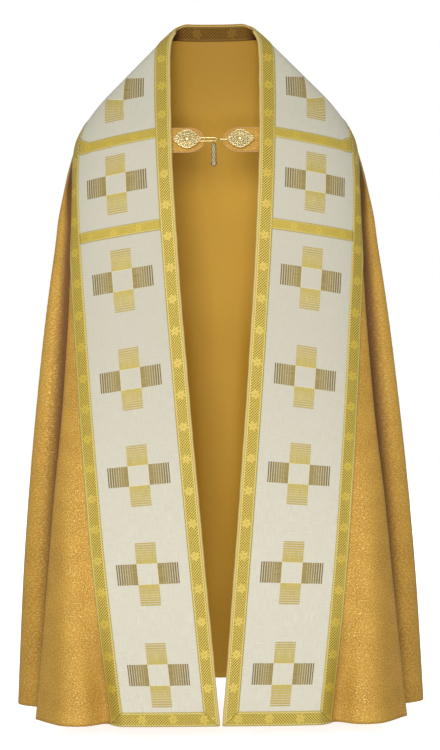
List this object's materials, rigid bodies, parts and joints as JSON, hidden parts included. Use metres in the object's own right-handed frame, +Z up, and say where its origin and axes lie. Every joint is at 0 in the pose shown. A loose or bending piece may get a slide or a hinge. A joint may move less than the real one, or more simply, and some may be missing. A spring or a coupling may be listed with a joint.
{
  "type": "cope vestment",
  "caption": "Long open cloak with a straight banded front, galloon tapes and a metal clasp, kept in its hollow worn form.",
  "frame": {"origin": "inside the neck, where the wearer's neck and shoulders hold the cloak, 58 mm below the neck edge at the wearer's sides", "axes": "+Z up, the front opening faces -Y, +X to the right when looking at the open front"},
  "size_m": [0.8558, 0.4962, 1.4537],
  "materials": {
    "gold_cloth": "gold lurex brocade",
    "lining": "smooth ochre satin",
    "orphrey": "ivory brocade with woven gold motifs",
    "galloon": "woven gold braid",
    "tab_cloth": "stitched gold cloth",
    "clasp_metal": "pale antique brass"
  },
  "bodies": {
    "cope": {"galloon_cross_lower_left": "galloon", "galloon_cross_lower_right": "galloon", "galloon_cross_upper_left": "galloon", "galloon_cross_upper_right": "galloon", "galloon_hem_left": "galloon", "galloon_hem_right": "galloon", "galloon_inner": "galloon", "galloon_outer": "galloon", "hook": "clasp_metal", "lining": "lining", "neck_tape": "galloon", "orphrey_band": "orphrey", "outer_back": "gold_cloth", "outer_front_left": "gold_cloth", "outer_front_right": "gold_cloth", "post_left": "clasp_metal", "post_right": "clasp_metal", "ring": "clasp_metal", "rosette_left": "clasp_metal", "rosette_right": "clasp_metal", "tab_left": "tab_cloth", "tab_right": "tab_cloth"},
    "pendant": {"pendant": "clasp_metal"}
  },
  "joints": [
    {"name": "pendant_swing", "type": "hinge", "parent": "cope", "child": "pendant", "pos_m": [-0.0036, -0.10668, -0.20689], "axis": [1, 0, 0], "range_deg": [-80, 20]}
  ]
}
